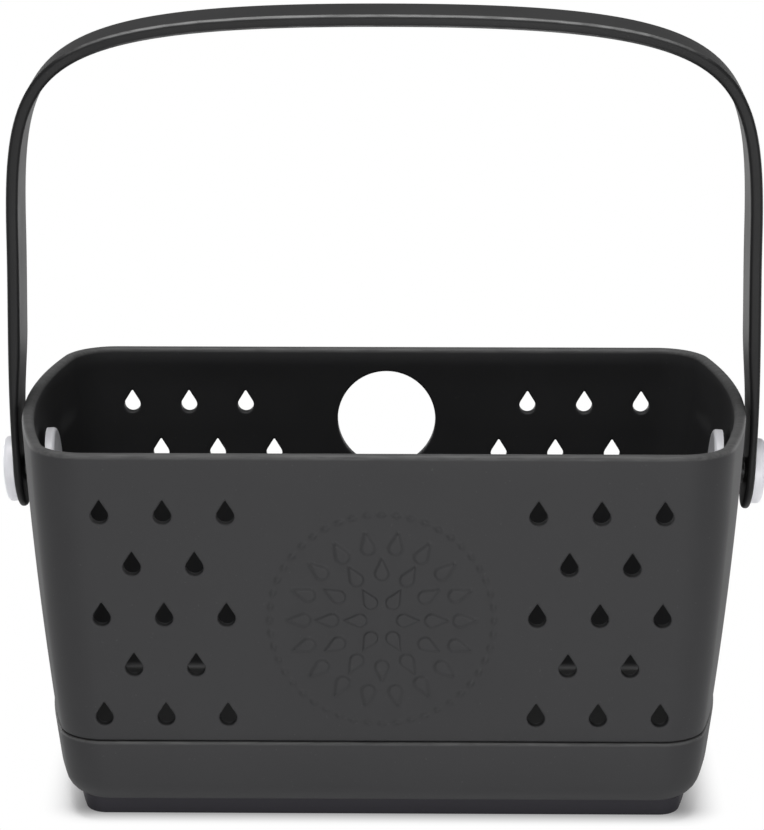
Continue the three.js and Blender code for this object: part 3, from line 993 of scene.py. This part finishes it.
# %% The foot
SOLE_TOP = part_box("non_slip_sole")[1].z
SOLE_DEPTH = 9.2 * MM
SOLE_ROUND = 1.6 * MM
SOLE_REACH = 4 * MM
sole_foam = foam("sole_foam", *SOLE)


def foot_ring(depth, z):
    """The basket's outline at a depth, with the ends moved out by the foot's reach."""
    points = ring(depth, z)
    stretch = 1 + SOLE_REACH / max(point.x for point in points)
    return [Vector((point.x * stretch, point.y, point.z)) for point in points]


def foot():
    moulding = Moulding()
    arc = quarter_arc(EDGE_STEPS)
    under = [(SOLE_DEPTH + SOLE_ROUND * (1 - s), SOLE_ROUND * (1 - c)) for s, c in arc]
    rings = [foot_ring(*stop) for stop in [*under, (SOLE_DEPTH, SOLE_TOP)]]
    moulding.band(rings)
    floor_panel(moulding, rings[0], 0)
    floor_panel(moulding, rings[-1], SOLE_TOP)
    drain_walls(moulding, 0, SOLE_TOP)
    moulding.piece("foot", "non_slip_sole", "basket", sole_foam)


foot()

# %% [markdown]
# Strap handle
#
# The strap is one flat strip with round ends, bent into an arch. It thins towards the eyes, where the
# rivets hold it. A curve with a bevel would give the arch but not the round ends or the change in
# thickness, so the strip is cut flat, like the wall, and bent along two curves: a leg that straightens
# up from the leaning wall, and a wide shoulder into the crossbar.

# %% The strap's path
HANDLE_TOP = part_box("handle_strap")[1].z
HANDLE_HALF_WIDTH = 158.2 * MM
SHOULDER_START = 235 * MM
SHOULDER_RISE = 77.6 * MM
SHOULDER_REACH = 149.5 * MM
STRAP_HALF = 16.5 * MM
STRAP_THICKNESS = 5.2 * MM
EYE_THICKNESS = 3.4 * MM
EYE_FADE_START = 20 * MM
EYE_FADE_END = 60 * MM
STRAP_STAND_OFF = 2.6 * MM
PATH_STEPS = 400
PIVOT_RISE = PIVOT_HEIGHT / RIM_TOP
PIVOT_LEAN = (END_TAPER + 4 * WALL_BOW * (1 - 2 * PIVOT_RISE)) / RIM_TOP
PIVOT_TILT = math.atan(PIVOT_LEAN)
PIVOT_HALF_SPAN = plan_at(PIVOT_HEIGHT).half_x - WALL / 2
EYE_OUTSIDE = WALL / 2 + STRAP_STAND_OFF + EYE_THICKNESS


def cubic(points, share):
    rest = 1 - share
    weights = (rest ** 3, 3 * rest ** 2 * share, 3 * rest * share ** 2, share ** 3)
    return sum((weight * point for weight, point in zip(weights, points)), Vector((0, 0)))


def strap_path():
    """Points of the strap's outer face from the crossbar's middle down to the right eye."""
    lean = Vector((math.sin(PIVOT_TILT), math.cos(PIVOT_TILT)))
    out = Vector((lean.y, -lean.x))
    eye = Vector((PIVOT_HALF_SPAN, PIVOT_HEIGHT)) + out * EYE_OUTSIDE
    leg_top = Vector((HANDLE_HALF_WIDTH, SHOULDER_START))
    third = (SHOULDER_START - PIVOT_HEIGHT) / 3
    shoulder = [Vector((0, HANDLE_TOP)), Vector((SHOULDER_REACH, HANDLE_TOP)),
                leg_top + Vector((0, SHOULDER_RISE)), leg_top]
    leg = [leg_top, leg_top - Vector((0, third)), eye + lean * third, eye]
    shares = [i / PATH_STEPS for i in range(PATH_STEPS + 1)]
    return [cubic(shoulder, s) for s in shares] + [cubic(leg, s) for s in shares[1:]]


path = strap_path()
path_runs = [0]
for before, after in zip(path, path[1:]):
    path_runs.append(path_runs[-1] + (after - before).length)
EYE_RUN = path_runs[-1]
print("strap from middle to eye", round(EYE_RUN / MM), "mm")


# %% From the flat strip to the arch
def strap_frame(run):
    """Outer point, direction and thickness of the strap at a run from the crossbar's middle."""
    along = min(abs(run), EYE_RUN)
    i = min(max(bisect.bisect_left(path_runs, along), 1), len(path) - 1)
    share = (along - path_runs[i - 1]) / (path_runs[i] - path_runs[i - 1])
    direction = (path[i] - path[i - 1]).normalized()
    point = path[i - 1].lerp(path[i], share) + direction * max(abs(run) - EYE_RUN, 0)
    fade = step((EYE_RUN - along - EYE_FADE_START) / (EYE_FADE_END - EYE_FADE_START))
    return point, direction, EYE_THICKNESS + (STRAP_THICKNESS - EYE_THICKNESS) * fade


def strap_point(run, across, depth, skin):
    """A point in the strap, at a depth under its outer face for skin 0 or its inner face for 1."""
    point, direction, thickness = strap_frame(run)
    inward = Vector((direction.y, -direction.x))
    x, z = point + inward * (thickness - depth if skin else depth)
    return Vector((math.copysign(x, run), across, z))


thicknesses = [round(strap_frame(run)[2] / MM, 1) for run in (0, EYE_RUN)]
print("strap thickness in the middle and at the eye", thicknesses)

# %% Foam of the strap
# in from the edge: where the painted highlight starts and is full, and where it wanes and ends
EDGE_HIGHLIGHT_START = 1.8 * MM, 1.3 * MM
EDGE_HIGHLIGHT_END = 0.4 * MM, 0
EDGE_HIGHLIGHT_TONE = 0.18
# under the crossbar's top: where the painted highlight comes in and is full
TOP_HIGHLIGHT_RISE = 22.2 * MM, 3.2 * MM
# a painted highlight along both edges of the crossbar, broken by streaks
strap_painted_highlight = PaintedLight(
    "Y", EDGE_HIGHLIGHT_TONE,
    start=[STRAP_HALF - inset for inset in EDGE_HIGHLIGHT_START],
    end=[STRAP_HALF - inset for inset in EDGE_HIGHLIGHT_END],
    rise=[HANDLE_TOP - drop for drop in TOP_HIGHLIGHT_RISE],
)
strap_foam = foam("strap_foam", *STRAP, strap_painted_highlight)
print("painted strap highlight from", round(strap_painted_highlight.rise[0] / MM), "mm up")

# %% The strap
STRAP_ROUND = 1.6 * MM
STRAP_HOLD = 0.6 * MM
STRAP_STEP = 3 * MM
STRAP_COLUMNS = 6
END_STEPS = 28
EYE_RADIUS = 3.9 * MM
EYE_SIDES = 32


def strap_border(offset):
    """Edge of the flat strip, drawn in by an offset."""
    half = STRAP_HALF - offset
    count = round(2 * EYE_RUN / STRAP_STEP)
    runs = [EYE_RUN * (2 * i / count - 1) for i in range(1, count)]
    turns = [math.pi * i / END_STEPS - math.pi / 2 for i in range(END_STEPS + 1)]
    right = [(EYE_RUN + half * math.cos(turn), half * math.sin(turn)) for turn in turns]
    left = [(-run, -across) for run, across in right]
    return [(run, -half) for run in runs] + right + [(run, half) for run in reversed(runs)] + left


def strap():
    moulding = Moulding()
    arc = [(STRAP_ROUND * (1 - s), STRAP_ROUND * (1 - c)) for s, c in quarter_arc(FILLET_STEPS)]
    stops = [(STRAP_ROUND + STRAP_HOLD, 0), *arc]
    outer, inner = [[[strap_point(*spot, depth, skin) for spot in strap_border(offset)]
                     for offset, depth in stops] for skin in (0, 1)]
    moulding.band(outer + inner[::-1])
    eyes = [circle(side * EYE_RUN, 0, EYE_RADIUS, EYE_SIDES) for side in (1, -1)]
    border = strap_border(STRAP_ROUND + STRAP_HOLD)
    width = 2 * (STRAP_HALF - STRAP_ROUND - STRAP_HOLD)
    count = round(2 * EYE_RUN / STRAP_STEP)
    spots = [(EYE_RUN * (2 * i / count - 1), width * (j / STRAP_COLUMNS - 0.5))
             for i in range(1, count) for j in range(1, STRAP_COLUMNS)]
    clear = [circle(side * EYE_RUN, 0, EYE_RADIUS + STITCH_CLEAR, EYE_SIDES) for side in (1, -1)]
    spots = [spot for spot in spots if not any(inside(spot, loop) for loop in clear)]
    points, faces = fill(border, eyes, spots)
    for skin in (0, 1):
        moulding.panel([strap_point(*spot, 0, skin) for spot in points], faces)
    for eye in eyes:
        moulding.band([[strap_point(*spot, 0, skin) for spot in eye] for skin in (0, 1)])
    moulding.piece("strap", "handle_strap", "handle", strap_foam)


strap()

# %% [markdown]
# Snap rivets
#
# Each rivet is a domed white button outside, whose post snaps into a capped sleeve inside. The sleeve's
# end keeps the strap off the wall. Bevelled cylinders could be joined, but both are turned shapes, so
# each one is a section of radius against distance, swept round the rivet's leaning axis. What little
# shows of the white sleeve between wall and strap lies in shade, so painted shade darkens it. A second
# material on its faces would do, but a stretch of painted shade along the axis needs no faces picked out.

# %% Sections of the rivet
POST_RADIUS = 3.6 * MM
SLEEVE_RADIUS = 5.6 * MM
HEAD_RADIUS = 14 * MM
HEAD_HEIGHT = 4.4 * MM
HEAD_ROUND = 2.2 * MM
CAP_RADIUS = 16.5 * MM
CAP_HEIGHT = 4 * MM
CAP_ROUND = 1.6 * MM
CAP_SKIN = 1.3 * MM
SWING = math.radians(frame["joints"][0]["range_deg"][1])
TURNED_SIDES = 72
TURNED_STEPS = 6


def swing_room(radius):
    return FIT_GAP + 2 * radius * PIVOT_LEAN * math.sin(SWING / 2)


EYE_INSIDE = WALL / 2 + STRAP_STAND_OFF
HEAD_SEAT = EYE_OUTSIDE + FIT_GAP
HEAD_FACE = HEAD_SEAT + HEAD_HEIGHT
END_HOLLOW = CAP_RADIUS ** 2 / (2 * END_RADIUS)
CAP_SEAT = -WALL / 2 - swing_room(CAP_RADIUS) - END_HOLLOW
CAP_FACE = CAP_SEAT - CAP_HEIGHT
SOCKET_END = CAP_FACE + CAP_SKIN
SLEEVE_END = EYE_INSIDE - FIT_GAP


def rounded(radius, face, rounding, outwards):
    """The rounded edge of a disc, from its side to its face."""
    arc = quarter_arc(TURNED_STEPS)
    return [(radius - rounding * (1 - c), face - outwards * rounding * (1 - s)) for s, c in arc]


def turned(name, node, side, section, material):
    axis = Vector((side * math.cos(PIVOT_TILT), 0, -math.sin(PIVOT_TILT)))
    across = Vector((0, 1, 0))
    up = axis.cross(across)
    middle = Vector((side * PIVOT_HALF_SPAN, 0, PIVOT_HEIGHT))
    loop = circle(0, 0, 1, TURNED_SIDES)
    moulding = Moulding()
    moulding.band([[middle + axis * along + (across * a + up * b) * radius for a, b in loop]
                   for radius, along in section])
    moulding.piece(name, node, "handle", material)


faces_along = [round(place / MM, 2) for place in (HEAD_FACE, CAP_FACE)]
print("head face and cap face in mm along the rivet", faces_along)

# %% Plastic of the rivets
# in from the wall's outer face: where the sleeve's painted shade starts and is full
SLEEVE_SHADE_DEPTHS = 0.5 * MM, 0.1 * MM
SLEEVE_SHADE_TONE = 0.012
WALL_FACE = plan_at(PIVOT_HEIGHT).half_x
# painted shade on the part of the white sleeve that shows between wall and strap
sleeve_painted_shade = PaintedLight("X", SLEEVE_SHADE_TONE, start=[WALL_FACE - depth for depth in SLEEVE_SHADE_DEPTHS], ragged=0)
rivet_white = plastic("rivet_white", *RIVET)
cap_white = plastic("cap_white", *RIVET, sleeve_painted_shade)
print("materials", [material.name for material in bpy.data.materials])

# %% Buttons and caps
POST_TIP = 0.9 * MM
POST_END = SOCKET_END + FIT_GAP
post = [(0, POST_END), (POST_RADIUS - POST_TIP, POST_END), (POST_RADIUS, POST_END + POST_TIP),
        (POST_RADIUS, HEAD_SEAT)]
head = [(HEAD_RADIUS, HEAD_SEAT), *rounded(HEAD_RADIUS, HEAD_FACE, HEAD_ROUND, 1), (0, HEAD_FACE)]
button = post + head
bore = POST_RADIUS + FIT_GAP
cap = [(0, CAP_FACE), *reversed(rounded(CAP_RADIUS, CAP_FACE, CAP_ROUND, -1)), (CAP_RADIUS, CAP_SEAT),
       (SLEEVE_RADIUS, CAP_SEAT), (SLEEVE_RADIUS, SLEEVE_END), (bore, SLEEVE_END), (bore, SOCKET_END),
       (0, SOCKET_END)]
for word, side in (("right", 1), ("left", -1)):
    turned(f"button_{word}", f"rivet_button_{word}", side, button, rivet_white)
    turned(f"cap_{word}", f"rivet_cap_{word}", side, cap, cap_white)
